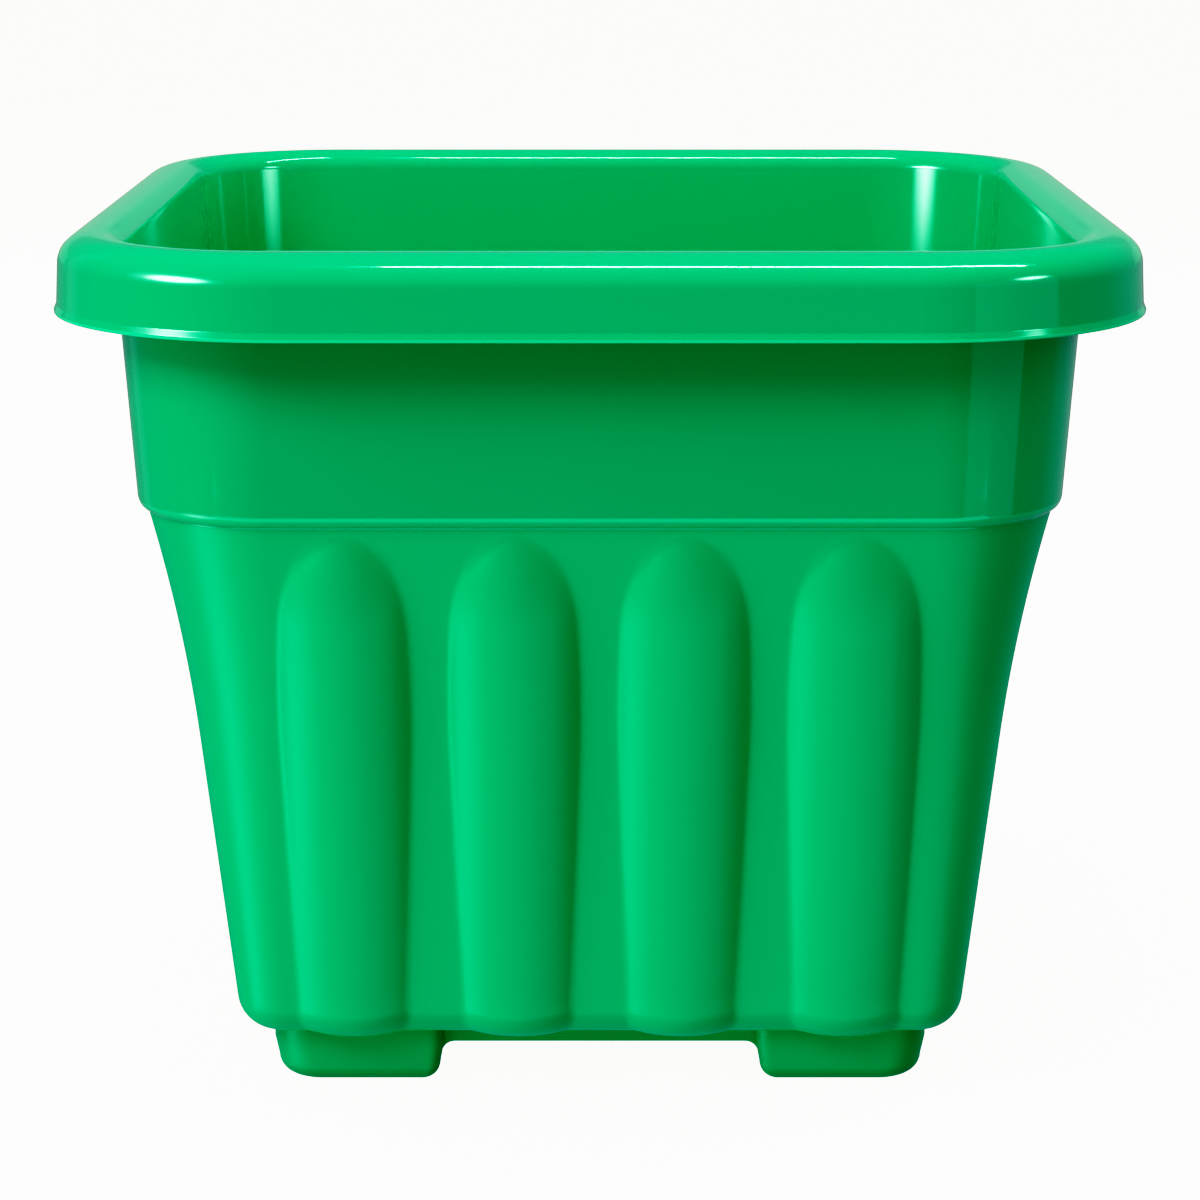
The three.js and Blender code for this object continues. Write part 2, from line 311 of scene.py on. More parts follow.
@dataclass(frozen=True)
class Row:
    """One ring of the tub's skin, in millimetres."""

    half: float
    height: float
    zone: Zone
    inset: float = 0.0
    tuck: float = 0.0
    # Share of the painted highlight on this ring.
    painted_highlight: float = 0.0


def rows_along(line: Iterable[Place], zone: Zone, inset: float = 0.0) -> list[Row]:
    """Rows at the points of a line, each of them a half-width and a height."""
    return [Row(half, height, zone, inset) for half, height in line]


@dataclass(frozen=True)
class Flutes:
    """The round flutes moulded into the front and the back, in millimetres and degrees."""

    count: int = 4
    pitch: float = 62.0
    radius: float = 36.0
    proud: float = 6.3
    taper: float = 8.05
    headroom: float = 38.2
    dome: float = 63.0
    blend: float = 1.2
    crown_half: float = 18.0
    crown_spacing: float = 2.25
    crease_half: float = 28.0
    crease_spacing: float = 0.6
    valley_columns: int = 3
    end_margin: float = 0.3

    def centres(self) -> np.ndarray:
        """Places of the flutes across their side."""
        return (np.arange(self.count) - (self.count - 1) / 2) * self.pitch

    def samples(self, straight: float) -> np.ndarray:
        """Places of the mesh columns across a fluted side, closest where a flute meets the wall.

        Args:
            straight: Half of the side's straight stretch.

        Returns:
            Shares of the straight stretch, from -1 to 1.
        """
        right = [
            *np.arange(0.0, self.crown_half, self.crown_spacing),
            *np.arange(self.crown_half, self.crease_half, self.crease_spacing),
            *np.linspace(self.crease_half, self.pitch / 2, self.valley_columns),
        ]
        offsets = np.array([-place for place in right[:0:-1]] + right[:-1])
        across = (self.centres()[:, None] + offsets[None, :]).ravel()
        inside = across[np.abs(across) < straight - self.end_margin]
        return np.array([-straight, *inside, straight]) / straight


@dataclass
class TubMoulding:
    """The tub itself: base, fluted wall, band, rolled rim and floor, in millimetres and degrees."""

    rim_half: float
    crest: float
    underside: float
    wall: float = 3.0
    base_round: float = 14.0
    # Painted highlight on the rounded base edge, where light from below catches it.
    base_highlight: float = 0.9
    wall_foot_half: float = 138.9
    wall_foot_corner: float = 18.9
    wall_taper: float = 6.4
    wall_height: float = 204.7
    flare_height: float = 88.7
    flare_radius: float = 580.0
    step_out: float = 3.55
    step_rise: float = 5.0
    step_fillet: float = 0.9
    # Painted highlight along the band's rounded lower edge: its share at the step, its share higher up,
    # and the share of the step's rise that it covers.
    step_highlight_foot: float = 0.375
    step_highlight: float = 0.5
    step_highlight_top: float = 0.8
    band_taper: float = 3.75
    rim_height: float = 29.4
    rim_corner: float = 90.0
    lip_proud: float = 1.0
    lip_height: float = 3.3
    lip_edge: float = 1.2
    lip_round: float = 0.5
    # Painted highlight on the outside of the lip's lower edge.
    lip_highlight: float = 1.0
    skirt_draft: float = 0.9
    shoulder_height: float = 11.5
    crest_flat: float = 2.0
    roll_radius: float = 8.0
    flutes: Flutes = Flutes()
    corner_steps: int = 20
    plain_columns: int = 16
    round_steps: int = 5
    base_steps: int = 12
    inner_base_steps: int = 7
    wall_spacing: float = 5.0
    dome_spacing: float = 1.1
    inner_wall_spacing: float = 9.0
    inner_dome_spacing: float = 2.0
    step_steps: int = 16
    band_levels: int = 12
    inner_band_levels: int = 8
    roll_steps: int = 14
    under_roll_steps: int = 6
    shoulder_steps: int = 18
    under_shoulder_steps: int = 9
    drain_radius: float = 8.0
    drain_distance: float = 78.0
    socket_radius: float = 4.8
    socket_depth: float = 12.0
    socket_wall: float = 3.0
    boss_fillet: float = 2.0
    hole_bevel: float = 0.5
    hole_sides: int = 40
    gloss_slot: int = 0
    satin_slot: int = 1

    def __post_init__(self) -> None:
        """Works out the heights and half-widths that follow from the sizes."""
        self.step = self.underside + self.wall_height
        self.lip = self.crest - self.rim_height
        self.floor_top = self.underside + self.wall
        self.wall_foot = self.underside + self.base_round
        self.corner_axis = self.wall_foot_half - self.wall_foot_corner
        self.wall_slope = math.tan(math.radians(self.wall_taper))
        self.band_slope = math.tan(math.radians(self.band_taper))
        self.roll_centre = self.crest - self.roll_radius
        self.rim_start_half = self.band_half(self.roll_centre)
        self.roll_half = self.rim_start_half - self.wall + self.roll_radius
        self.crest_half = self.roll_half + self.crest_flat
        self.skirt_half = self.rim_half - self.lip_proud
        self.shoulder_half = self.skirt_half - self.skirt_draft
        self.shoulder_foot = self.crest - self.shoulder_height

    @classmethod
    def from_frame(cls) -> "TubMoulding":
        """Takes the overall sizes from the frame's own tub."""
        low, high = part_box("tub_body")
        return cls(rim_half=high.x / MM, crest=high.z / MM, underside=low.z / MM)

    def wall_half(self, height: float) -> float:
        """Half-width of the wall's outside at a height."""
        flare = max(0.0, height - self.step + self.flare_height)
        straight = self.wall_foot_half + (height - self.wall_foot) * self.wall_slope
        return straight + flare * flare / (2 * self.flare_radius)

    def band_half(self, height: float) -> float:
        """Half-width of the band's outside at a height."""
        foot = self.wall_half(self.step) + self.step_out
        return foot + (height - self.step - self.step_rise) * self.band_slope

    def corner_radius(self, half: float) -> float:
        """Corner radius in plan of a ring with this half-width."""
        if half <= self.rim_start_half:
            return half - self.corner_axis
        share = (half - self.rim_start_half) / (self.rim_half - self.rim_start_half)
        wall_corner = self.rim_start_half - self.corner_axis
        return wall_corner + (self.rim_corner - wall_corner) * share

    def base_rows(self, inset: float, steps: int) -> list[Row]:
        """Rounded edge between the underside, or the floor, and the wall.

        Args:
            inset: 0 for the outside, the wall thickness for the inside.
            steps: Count of chords.

        Returns:
            Rows from the flat up to the wall.
        """
        radius = self.base_round - inset
        lean = math.radians(self.wall_taper)
        end = QUARTER - lean
        top = self.wall_foot - radius * math.cos(end)
        foot_half = self.wall_half(top) - inset / math.cos(lean)
        rows = []
        for angle in np.linspace(0.0, end, steps + 1):
            tuck = radius * (math.sin(end) - math.sin(angle))
            height = self.wall_foot - radius * math.cos(angle)
            # Painted highlight on the outside's rounded base edge, brightest at the bottom and gone at the
            # wall.
            glow = self.base_highlight * (1 - angle / end) * (inset == 0.0)
            rows.append(Row(foot_half - tuck, height, Zone.BASE, inset, tuck, glow))
        return rows

    def wall_rows(self, inset: float, coarse: float, fine: float) -> list[Row]:
        """The wall between its base edge and the step, closest set over the flutes' domed tops.

        Args:
            inset: 0 for the outside, the wall thickness for the inside.
            coarse: Spacing over the straight flutes.
            fine: Spacing over their tops.

        Returns:
            Rows going up.
        """
        dome = self.step - self.flutes.headroom - coarse
        top = self.step - self.step_fillet
        plain = np.linspace(self.wall_foot, dome, round((dome - self.wall_foot) / coarse))
        domed = np.linspace(dome, top, round((top - dome) / fine))[1:]
        line = [(self.wall_half(height) - inset, height) for height in (*plain, *domed)]
        return rows_along(line, Zone.WALL, inset)

    def step_rows(self) -> list[Row]:
        """The step under the band: a small fillet, then the band's rounded lower edge, with a painted
        highlight on it.
        """
        start, top = self.wall_half(self.step), self.step + self.step_rise
        arc = quarter_arc((start, top), self.step_out, -self.step_rise, self.step_steps)
        edge = [place for place in arc if place[0] > start + self.step_fillet]
        below = self.step - self.step_fillet
        fillet = rounded_line([
            (self.wall_half(below), below, 0.0),
            (start, self.step, self.step_fillet / 2),
            (*edge[0], 0.0),
        ], self.round_steps)
        rows = []
        for half, height in fillet[1:] + edge[1:]:
            # Painted highlight on the band's lower edge, rising from the step and gone above its top.
            share = max(0.0, height - self.step) / (self.step_highlight_top * self.step_rise)
            glow = self.step_highlight_foot + (self.step_highlight - self.step_highlight_foot) * share
            rows.append(Row(half, height, Zone.STEP, painted_highlight=glow * (share <= 1.0)))
        return rows

    def band_rows(self) -> list[Row]:
        """The plain band between the step and the rim."""
        heights = np.linspace(self.step + self.step_rise, self.roll_centre, self.band_levels)[1:]
        return rows_along([(self.band_half(height), height) for height in heights], Zone.BAND)

    def rim_rows(self) -> list[Row]:
        """Under the rim, round the lip, up the skirt and over the shoulder to the crest."""
        under_roll = self.roll_radius - self.wall
        width, rise = self.shoulder_half - self.crest_half, self.shoulder_height
        shoulder = (self.crest_half, self.shoulder_foot)
        centre = (self.roll_half, self.roll_centre)
        roll = quarter_arc(centre, -under_roll, under_roll, self.under_roll_steps)
        under = quarter_arc(shoulder, width - self.wall, rise - self.wall, self.under_shoulder_steps)
        over = quarter_arc(shoulder, width, rise, self.shoulder_steps)
        rows = rows_along([*roll[::-1][1:], *under], Zone.UNDER_RIM)
        lip_line = rounded_line([
            (self.shoulder_half - self.wall, self.shoulder_foot, 0.0),
            (self.skirt_half - self.wall, self.lip, self.lip_round),
            (self.rim_half, self.lip, self.lip_round),
            (self.rim_half, self.lip + self.lip_edge, self.lip_round),
            (self.skirt_half, self.lip + self.lip_height, self.lip_proud),
            (self.shoulder_half, self.shoulder_foot, 0.0),
        ], self.round_steps)[1:-1]
        middle = self.skirt_half - self.wall / 2
        for half, height in lip_line:
            # Painted highlight on the outside of the lip's lower edge.
            highlighted = half > middle and height < self.lip + self.lip_edge
            rows.append(Row(half, height, Zone.LIP, painted_highlight=self.lip_highlight * highlighted))
        return rows + rows_along(over[::-1], Zone.RIM)

    def inside_rows(self) -> list[Row]:
        """From the crest over the inner roll, down the planting space to the floor."""
        radius = self.roll_radius
        roll = quarter_arc((self.roll_half, self.roll_centre), -radius, radius, self.roll_steps)
        ledge, below = self.step + self.wall, self.step - self.step_fillet
        top = ledge + 2 * self.wall
        heights = np.linspace(self.roll_centre, top, self.inner_band_levels)[1:]
        band = [(self.band_half(height) - self.wall, height) for height in heights]
        turn = rounded_line([
            (self.band_half(top) - self.wall, top, 0.0),
            (self.band_half(ledge) - self.wall, ledge, self.step_fillet),
            (self.wall_half(self.step) - self.wall, ledge, self.step_fillet),
            (self.wall_half(below) - self.wall, below, 0.0),
        ], self.round_steps)[1:-1]
        return [
            *rows_along(roll, Zone.RIM, self.wall),
            *rows_along(band + turn, Zone.INSIDE, self.wall),
            *self.wall_rows(self.wall, self.inner_wall_spacing, self.inner_dome_spacing)[::-1],
            *self.base_rows(self.wall, self.inner_base_steps)[::-1],
        ]

    def rows(self) -> list[Row]:
        """Every row of the skin, from the underside's edge over the rim to the floor's edge."""
        return [
            *self.base_rows(0.0, self.base_steps),
            *self.wall_rows(0.0, self.wall_spacing, self.dome_spacing),
            *self.step_rows(),
            *self.band_rows(),
            *self.rim_rows(),
            *self.inside_rows(),
        ]

    def fluted_depth(self, across: np.ndarray, row: Row) -> np.ndarray:
        """How far a fluted side stands out, from the tub's middle.

        Args:
            across: Places across the side.
            row: Ring that is being made.

        Returns:
            Depth at each place, with the flutes blended into the wall.
        """
        flutes = self.flutes
        depth = np.full_like(across, row.half)
        if row.zone not in (Zone.BASE, Zone.WALL):
            return depth
        rise = max(0.0, row.height - self.step + flutes.headroom) / (flutes.dome - row.inset)
        radius = (flutes.radius - row.inset - row.tuck) * math.sqrt(1 - rise**2)
        slope = math.tan(math.radians(flutes.taper))
        height = max(row.height, self.wall_foot)
        axis = self.wall_foot_half + flutes.proud - flutes.radius + (height - self.wall_foot) * slope
        offset = np.abs(across[:, None] - flutes.centres()[None, :]).min(axis=1)
        bulge = axis + np.sqrt(np.maximum(radius**2 - offset**2, 0.0))
        overlap = np.maximum(flutes.blend - np.abs(depth - bulge), 0.0)
        return np.maximum(depth, bulge) + overlap**2 / (4 * flutes.blend)

    def outline(self, row: Row) -> np.ndarray:
        """Plan of one ring, anticlockwise from the left end of the front.

        Args:
            row: Ring that is being made.

        Returns:
            Array of points, one row each.
        """
        radius = self.corner_radius(row.half)
        straight = row.half - radius
        angles = np.linspace(0.0, QUARTER, self.corner_steps + 1)[1:-1]
        turned = np.stack([np.sin(angles), np.cos(angles)], axis=1) * radius + straight
        fluted = self.flutes.samples(self.corner_axis) * straight
        plain = np.linspace(-straight, straight, self.plain_columns + 1)
        sides = []
        for side in range(4):
            across = plain if side % 2 else fluted
            depth = np.full_like(across, row.half) if side % 2 else self.fluted_depth(across, row)
            local = np.concatenate([np.stack([across, depth], axis=1), turned])
            x, y = local[:, 0], -local[:, 1]
            for _ in range(side):
                x, y = -y, x
            sides.append(np.stack([x, y], axis=1))
        return np.concatenate(sides)

    def drains(self) -> list[Place]:
        """Middles of the drain holes."""
        reach = self.drain_distance
        return [(0.0, -reach), (0.0, reach), (-reach, 0.0), (reach, 0.0)]

    def add_floor(self, skin: Skin, under: list[int], over: list[int], sockets: Sequence[Place]) -> None:
        """Closes the floor, with its drain holes, peg sockets and bosses.

        Args:
            skin: Mesh that is being made.
            under: Ring round the underside.
            over: Ring round the floor's top.
            sockets: Middles of the peg sockets.
        """
        bevel, socket_top = self.hole_bevel, self.underside + self.socket_depth
        boss, boss_top = self.socket_radius + self.socket_wall, socket_top + self.socket_wall
        mouth = [(bevel, self.underside), (0.0, self.underside + bevel)]
        drain_line = [*mouth, (0.0, self.floor_top - bevel), (bevel, self.floor_top)]
        boss_line = rounded_line([
            (boss + 2 * self.boss_fillet, self.floor_top, 0.0),
            (boss, self.floor_top, self.boss_fillet),
            (boss, boss_top, bevel),
            (boss - 2 * bevel, boss_top, 0.0),
        ], self.round_steps)[1:]

        def turned(centre: Place, radius: float, line: Sequence[Place]) -> list[list[int]]:
            """Adds the rings of a line, whose first values widen the radius."""
            return [skin.ring(circle(centre, radius + wider, self.hole_sides), height)
                    for wider, height in line]

        under_holes, over_holes = [], []
        for centre in self.drains():
            rings = turned(centre, self.drain_radius, drain_line)
            skin.stack(rings[::-1])
            under_holes.append(rings[0])
            over_holes.append(rings[-1])
        for centre in sockets:
            hole = turned(centre, self.socket_radius, [*mouth, (0.0, socket_top)])
            skin.stack(hole[::-1])
            skin.fill(hole[-1], [], faces_up=False)
            under_holes.append(hole[0])
            rings = turned(centre, 0.0, boss_line)
            skin.stack(rings)
            skin.fill(rings[-1], [], faces_up=True)
            over_holes.append(rings[0])
        skin.fill(under, under_holes, faces_up=False)
        skin.fill(over, over_holes, faces_up=True)

    def build(self, sockets: Sequence[Place]) -> bpy.types.Object:
        """Makes the tub's mesh.

        Args:
            sockets: Middles of the sockets for the foot frame's pegs.

        Returns:
            The tub as one closed piece.
        """
        skin = Skin()
        rows = self.rows()
        rings = [skin.ring(self.outline(row), row.height, row.painted_highlight) for row in rows]
        satin = (Zone.BASE, Zone.WALL)
        for (lower, upper), row in zip(pairwise(rings), rows[1:]):
            outside_satin = row.zone in satin and row.inset == 0.0
            skin.bridge(lower, upper, self.satin_slot if outside_satin else self.gloss_slot)
        self.add_floor(skin, rings[0], rings[-1], sockets)
        return skin.piece("tub_moulding")

    def dress(self, piece: bpy.types.Object, gloss: bpy.types.Material, satin: bpy.types.Material) -> None:
        """Gives the tub its finishes and its place on the frame.

        Args:
            piece: The tub's mesh.
            gloss: Finish of the rim, the band and the inside.
            satin: Finish of the fluted wall.
        """
        piece.data.materials.append(gloss)
        piece.data.materials.append(satin)
        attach(piece, "tub")
        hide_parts("tub_body")


@dataclass
class FootFrame:
    """Four hollow feet joined by plinth rails, with pegs for the tub's sockets, in millimetres."""

    half: float
    peg_top: float
    rail_top: float
    foot_height: float = 15.8
    foot_size: float = 66.0
    foot_corner: float = 16.0
    inner_corner: float = 6.0
    sharpest_corner: float = 0.3
    foot_draft: float = 1.5
    foot_round: float = 8.0
    foot_wall: float = 3.0
    rail_width: float = 8.0
    rail_setback: float = 6.0
    rail_fillet: float = 5.0
    peg_radius: float = 4.5
    peg_bevel: float = 0.8
    root: float = 1.5
    cut_through: float = 1.0
    corner_follow: float = 0.6
    nick: float = 0.01
    round_steps: int = 8
    corner_steps: int = 10
    peg_sides: int = 32

    @classmethod
    def from_frame(cls, tub: TubMoulding, gap: float = 0.3) -> "FootFrame":
        """Takes the overall sizes from the frame's own foot frame, with a gap under the tub."""
        _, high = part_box("foot_frame")
        return cls(half=high.x / MM, peg_top=high.z / MM, rail_top=tub.underside - gap)

    @property
    def middle(self) -> float:
        """How far the middle of each foot lies from the tub's middle lines."""
        return self.half - self.foot_size / 2

    def places(self) -> list[Place]:
        """Middles of the four feet."""
        return [(x * self.middle, y * self.middle) for x, y in ((1, 1), (-1, 1), (-1, -1), (1, -1))]

    def foot(self, corner: int, inset: float, over: float) -> bpy.types.Object:
        """A foot's outside, or the hollow inside it.

        Args:
            corner: Which of the tub's corners it stands under, from the back right one on.
            inset: 0 for the outside, the foot's wall for the hollow.
            over: How far it reaches past the top.

        Returns:
            The closed solid.
        """
        half, turn = self.foot_size / 2 - inset, self.foot_round - inset
        centre = (half - self.foot_draft - turn, self.foot_round)
        line = quarter_arc(centre, turn, -turn, self.round_steps)
        line += [(half, self.foot_height), (half, self.rail_top + over)]
        levels = []
        for size, height in line:
            tighter = inset + (half - size) * self.corner_follow
            radii = [self.foot_corner if place == corner else self.inner_corner for place in range(4)]
            radii = [max(radius - tighter, self.sharpest_corner) for radius in radii]
            plan = rounded_square(size, radii, self.corner_steps) + self.places()[corner]
            levels.append((plan, height))
        return closed_solid("foot", levels)

    def rail(self, side: int) -> bpy.types.Object:
        """One plinth rail between two feet, with the fillets that join it to them.

        Args:
            side: Quarter turns from the front.

        Returns:
            The closed solid.
        """
        lean = self.foot_draft * self.rail_fillet / (self.foot_height - self.foot_round)
        reach = self.middle - self.foot_size / 2 + lean
        low, fillet = self.foot_height - self.rail_fillet, self.rail_fillet - 2 * self.nick
        arch = rounded_line([
            (-self.middle, low, 0.0),
            (-reach, low, self.nick),
            (-reach, self.foot_height, fillet),
            (reach, self.foot_height, fillet),
            (reach, low, self.nick),
            (self.middle, low, 0.0),
        ], self.round_steps)
        outline = np.array([*arch, (self.middle, self.rail_top), (-self.middle, self.rail_top)])
        bar = closed_solid("rail", [(outline, 0.0), (outline, self.rail_width)])
        bar.data.transform(Euler((QUARTER, 0.0, 0.0)).to_matrix().to_4x4())
        for vertex in bar.data.vertices:
            vertex.co.y += (self.rail_setback + self.rail_width - self.half) * MM
        bar.data.transform(Euler((0.0, 0.0, side * QUARTER)).to_matrix().to_4x4())
        return bar

    def peg(self, centre: Place) -> bpy.types.Object:
        """The peg that stands in the middle of a foot.

        Args:
            centre: Middle of the foot.

        Returns:
            The closed solid.
        """
        line = [
            (self.peg_radius, self.foot_wall - self.root),
            (self.peg_radius, self.peg_top - self.peg_bevel),
            (self.peg_radius - self.peg_bevel, self.peg_top),
        ]
        return lathed("peg", centre, line, self.peg_sides)

    def build(self) -> bpy.types.Object:
        """Makes the foot frame as one closed piece."""
        corners = range(4)
        first, *others = [self.foot(corner, 0.0, 0.0) for corner in corners]
        worked(first, [*others, *(self.rail(side) for side in range(4))], Joining.ADD)
        hollows = [self.foot(corner, self.foot_wall, self.cut_through) for corner in corners]
        worked(first, hollows, Joining.CUT)
        worked(first, [self.peg(place) for place in self.places()], Joining.ADD)
        first.name = "foot_moulding"
        first.data.name = first.name
        return first

    def dress(self, piece: bpy.types.Object, satin: bpy.types.Material) -> None:
        """Gives the foot frame its finish and its place on the frame.

        Args:
            piece: The foot frame's mesh.
            satin: Its finish, a darker copy of the tub's satin that paints the shade under the tub.
        """
        piece.data.materials.clear()
        piece.data.materials.append(satin)
        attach(piece, "tub")
        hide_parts("foot_frame")


@dataclass
class DrainPlug:
    """A push-in plug with a pull tab, in millimetres about its own axis, with 0 on the tub's floor."""

    side: str
    floor: float
    head_radius: float
    stem_radius: float
    stem_reach: float
    gap: float = 0.3
    head_height: float = 2.5
    head_round: float = 0.9
    stem_wall: float = 2.2
    stem_bevel: float = 0.8
    crown: float = 1.5
    tab_radius: float = 8.0
    tab_thickness: float = 3.2
    tab_round: float = 0.7
    hole_radius: float = 3.6
    hole_rise: float = 3.9
    tab_bulge: float = 0.3
    arch_points: int = 25
    round_steps: int = 5
    turn_sides: int = 48

    @classmethod
    def from_frame(cls, side: str, tub: TubMoulding) -> "DrainPlug":
        """Takes the overall sizes from the frame's own plug on a side, and from the tub it sits in."""
        low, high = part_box(f"drain_plug_{side}")
        return cls(
            side=side,
            floor=tub.floor_top,
            head_radius=(high.x - low.x) / 2 / MM,
            stem_radius=tub.drain_radius - cls.gap,
            stem_reach=tub.floor_top - low.z / MM,
        )

    @property
    def head_top(self) -> float:
        """Height of the head's top over the floor."""
        return self.gap + self.head_height

    def turned(self) -> bpy.types.Object:
        """The head and the hollow stem, turned about the plug's axis."""
        bore = self.stem_radius - self.stem_wall
        corners = [
            (bore, -self.crown, 0.0),
            (bore, -self.stem_reach, self.stem_bevel / 2),
            (self.stem_radius, -self.stem_reach, self.stem_bevel),
            (self.stem_radius, self.gap, self.gap),
            (self.head_radius, self.gap, self.gap),
            (self.head_radius, self.head_top, self.head_round),
            (self.tab_thickness, self.head_top, 0.0),
        ]
        return lathed("plug", (0.0, 0.0), rounded_line(corners, self.round_steps), self.turn_sides)

    def tab(self) -> bpy.types.Object:
        """The upright pull tab, with its hole and softened edges."""
        angles = np.linspace(0.0, math.pi, self.arch_points)
        arch = np.stack([np.cos(angles), np.sin(angles)], axis=1) * self.tab_radius
        buried = -self.head_height / 2
        outline = np.concatenate([arch, [[-self.tab_radius, buried], [self.tab_radius, buried]]])
        soft, bulge = self.tab_round, self.tab_bulge * self.tab_round
        levels = [(soft, 0.0), (bulge, bulge), (0.0, soft)]
        levels += [(take, self.tab_thickness - depth) for take, depth in levels[::-1]]
        skin = Skin()
        outer, inner = [], []
        for take, depth in levels:
            hole = circle((0.0, self.hole_rise), self.hole_radius + take, self.turn_sides)
            outer.append(skin.ring(outline * (1 - take / self.tab_radius), depth))
            inner.append(skin.ring(hole, depth))
        skin.stack(outer)
        skin.stack(inner[::-1])
        skin.fill(outer[0], [inner[0]], faces_up=False)
        skin.fill(outer[-1], [inner[-1]], faces_up=True)
        tab = skin.piece("tab")
        tab.data.transform(Euler((QUARTER, 0.0, 0.0)).to_matrix().to_4x4())
        for vertex in tab.data.vertices:
            vertex.co.y += self.tab_thickness / 2 * MM
            vertex.co.z += self.head_top * MM
        return tab

    def build(self) -> bpy.types.Object:
        """Makes the plug as one closed piece, in its drain hole."""
        low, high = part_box(f"drain_plug_{self.side}")
        plug = self.turned()
        worked(plug, [self.tab()], Joining.ADD)
        plug.name = f"plug_{self.side}"
        plug.data.name = plug.name
        plug.location = ((low.x + high.x) / 2, (low.y + high.y) / 2, self.floor * MM)
        return plug

    def dress(self, piece: bpy.types.Object, matt: bpy.types.Material) -> None:
        """Gives the plug its finish and its place on the frame.

        Args:
            piece: The plug's mesh.
            matt: Its finish.
        """
        piece.data.materials.clear()
        piece.data.materials.append(matt)
        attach(piece, f"plug_{self.side}")
        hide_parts(f"drain_plug_{self.side}")


VECTOR = "NodeSocketVector"
VALUE = "NodeSocketFloat"
COLOUR = "NodeSocketColor"


class Shade:
    """A shader node tree while it is wired."""

    def __init__(self, tree: bpy.types.NodeTree) -> None:
        """Starts on an empty tree."""
        self.tree = tree
        tree.nodes.clear()

    def node(self, kind: str, **settings: object) -> bpy.types.Node:
        """Adds a node.

        Args:
            kind: Node's type name.
            settings: Attributes of the node to set.

        Returns:
            The new node.
        """
        node = self.tree.nodes.new(kind)
        for name, value in settings.items():
            setattr(node, name, value)
        return node

    def link(self, source: bpy.types.NodeSocket, target: bpy.types.NodeSocket) -> None:
        """Wires one socket to another."""
        self.tree.links.new(source, target)

    def feed(self, value: object, target: bpy.types.NodeSocket) -> None:
        """Gives a socket its value.

        Args:
            value: Socket or number.
            target: Socket that takes it.
        """
        if isinstance(value, bpy.types.NodeSocket):
            self.link(value, target)
        else:
            target.default_value = value

    def math(self, operation: str, first: object, second: object) -> bpy.types.NodeSocket:
        """Adds a sum of two values.

        Args:
            operation: Kind of sum.
            first: Socket or number.
            second: Socket or number.

        Returns:
            The sum's socket.
        """
        node = self.node("ShaderNodeMath", operation=operation)
        self.feed(first, node.inputs[0])
        self.feed(second, node.inputs[1])
        return node.outputs[0]

    def noise(self, vector: bpy.types.NodeSocket, scale: object, detail: float) -> bpy.types.NodeSocket:
        """Adds a noise texture.

        Args:
            vector: Where it is read.
            scale: Socket or number, in cells a metre.
            detail: How many finer layers it has.

        Returns:
            Its value, from 0 to 1.
        """
        node = self.node("ShaderNodeTexNoise")
        node.inputs["Detail"].default_value = detail
        self.link(vector, node.inputs["Vector"])
        self.feed(scale, node.inputs["Scale"])
        return node.outputs["Fac"]


def new_group(name: str, inputs: dict[str, str], outputs: dict[str, str]) -> tuple[Shade, dict, dict]:
    """Starts a shader node group.

    Args:
        name: Name of the group.
        inputs: Socket types of its inputs, by name.
        outputs: Socket types of its outputs, by name.

    Returns:
        The group's tree, its input sockets and its output sockets, by name.
    """
    tree = bpy.data.node_groups.new(name, "ShaderNodeTree")
    for in_out, sockets in (("INPUT", inputs), ("OUTPUT", outputs)):
        for socket, kind in sockets.items():
            tree.interface.new_socket(name=socket, in_out=in_out, socket_type=kind)
    shade = Shade(tree)
    start, end = shade.node("NodeGroupInput"), shade.node("NodeGroupOutput")
    sources = {socket: start.outputs[socket] for socket in inputs}
    return shade, sources, {socket: end.inputs[socket] for socket in outputs}


def mould_grain_group() -> bpy.types.NodeTree:
    """Fine tooth of the steel mould, with a faint ripple from cooling, as a height."""
    grain_detail, ripple_scale, ripple_detail = 3.0, 28.0, 1.0
    shade, inputs, outputs = new_group(
        "mould_grain",
        {"Vector": VECTOR, "Grain Scale": VALUE, "Ripple": VALUE},
        {"Height": VALUE},
    )
    fine = shade.noise(inputs["Vector"], inputs["Grain Scale"], grain_detail)
    broad = shade.noise(inputs["Vector"], ripple_scale, ripple_detail)
    ripple = shade.math("MULTIPLY", broad, inputs["Ripple"])
    shade.link(shade.math("ADD", fine, ripple), outputs["Height"])
    return shade.tree


def tint_drift_and_highlight_group() -> bpy.types.NodeTree:
    """Slow drift of the pigment through the plastic, and painted highlights as a paler tint on edges."""
    cloud_scale, speck_scale, detail, speck_share = 9.0, 420.0, 2.0, 0.5
    first_colour, second_colour, mixed_colour = 6, 7, 2
    shade, inputs, outputs = new_group(
        "tint_drift_and_highlight",
        {"Vector": VECTOR, "Colour": COLOUR, "Pale": COLOUR, "Drift": VALUE, "Highlight": VALUE},
        {"Colour": COLOUR},
    )
    cloud = shade.noise(inputs["Vector"], cloud_scale, detail)
    speck = shade.noise(inputs["Vector"], speck_scale, detail)
    mottle = shade.math("ADD", cloud, shade.math("MULTIPLY", speck, speck_share))
    drift = shade.math("MULTIPLY", mottle, inputs["Drift"])
    mix = shade.node("ShaderNodeMix", data_type="RGBA", clamp_factor=True)
    # Painted highlight: each point's share is added to the drift towards the pale tint.
    shade.link(shade.math("ADD", drift, inputs["Highlight"]), mix.inputs["Factor"])
    shade.link(inputs["Colour"], mix.inputs[first_colour])
    shade.link(inputs["Pale"], mix.inputs[second_colour])
    shade.link(mix.outputs[mixed_colour], outputs["Colour"])
    return shade.tree


